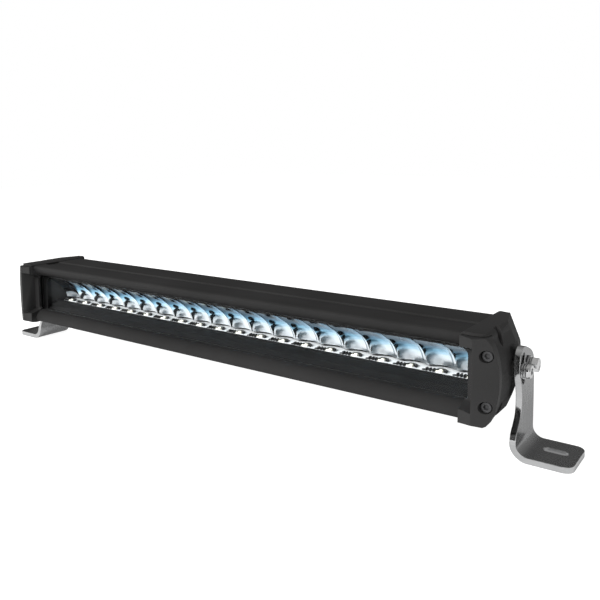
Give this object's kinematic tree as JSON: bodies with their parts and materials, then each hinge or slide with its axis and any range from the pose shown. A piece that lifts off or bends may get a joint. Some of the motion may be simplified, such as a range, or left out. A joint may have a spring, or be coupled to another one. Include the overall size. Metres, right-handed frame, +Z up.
{
  "type": "led light bar",
  "caption": "Slim black vehicle light bar: a row of half-dish mirror optics behind a clear lens in a finned housing, on two swivelling L-shaped steel foot brackets.",
  "frame": {"origin": "on the mounting plane under the feet, midway along the bar and midway through its depth from the front ridges of the end plates to the cable gland", "axes": "+X along the bar towards its right-hand end as seen from the front, -Y out of the lens in the direction of the light, +Z up"},
  "size_m": [0.6056, 0.082, 0.0919],
  "materials": {
    "housing": "black powder coat on extruded aluminium, satin",
    "lens": "clear hard-coated polycarbonate, gloss",
    "seal": "matt black silicone",
    "bezel": "black moulded plastic, fine grain",
    "reflector": "vacuum-metallised moulded plastic",
    "board": "aluminium-core circuit board under white solder mask",
    "led": "phosphor-coated LED package",
    "driver": "circuit board and its tall components",
    "end_plate": "black powder coat on die-cast aluminium, satin",
    "end_cap": "black powder coat on die-cast aluminium, fine texture",
    "black_screw": "blackened steel",
    "bracket": "stainless steel, brushed faces and bright edges",
    "bolt": "bright stainless steel",
    "washer": "bright stainless steel",
    "gland": "black nylon",
    "vent": "black plastic breather"
  },
  "bodies": {
    "bar": {"driver_board": "driver", "end_cap_left": "end_cap", "end_cap_right": "end_cap", "end_plate_left": "end_plate", "end_plate_right": "end_plate", "flat_washer_left_lock": "washer", "flat_washer_left_pivot": "washer", "flat_washer_right_lock": "washer", "flat_washer_right_pivot": "washer", "front_lens": "lens", "gland_body": "gland", "gland_nut": "gland", "housing": "housing", "inner_bezel": "bezel", "led_01": "led", "led_02": "led", "led_03": "led", "led_04": "led", "led_05": "led", "led_06": "led", "led_07": "led", "led_08": "led", "led_09": "led", "led_10": "led", "led_11": "led", "led_12": "led", "led_13": "led", "led_14": "led", "led_15": "led", "led_16": "led", "led_17": "led", "led_18": "led", "led_19": "led", "led_20": "led", "led_board": "board", "lens_seal": "seal", "lock_bolt_left": "bolt", "lock_bolt_right": "bolt", "pivot_bolt_left": "bolt", "pivot_bolt_right": "bolt", "plate_screw_left_lower": "black_screw", "plate_screw_left_upper": "black_screw", "plate_screw_right_lower": "black_screw", "plate_screw_right_upper": "black_screw", "reflector_1": "reflector", "reflector_2": "reflector", "reflector_3": "reflector", "reflector_4": "reflector", "spring_washer_left_lock": "washer", "spring_washer_left_pivot": "washer", "spring_washer_right_lock": "washer", "spring_washer_right_pivot": "washer", "vent_plug": "vent"},
    "bracket_left": {"bracket_left": "bracket"},
    "bracket_right": {"bracket_right": "bracket"}
  },
  "joints": [
    {"name": "swivel_right", "type": "hinge", "parent": "bar", "child": "bracket_right", "pos_m": [0.2641, 0.014, 0.0624], "axis": [1, 0, 0], "range_deg": [-38, 38]},
    {"name": "swivel_left", "type": "hinge", "parent": "bar", "child": "bracket_left", "pos_m": [-0.2641, 0.014, 0.0624], "axis": [1, 0, 0], "range_deg": [-38, 38]}
  ]
}
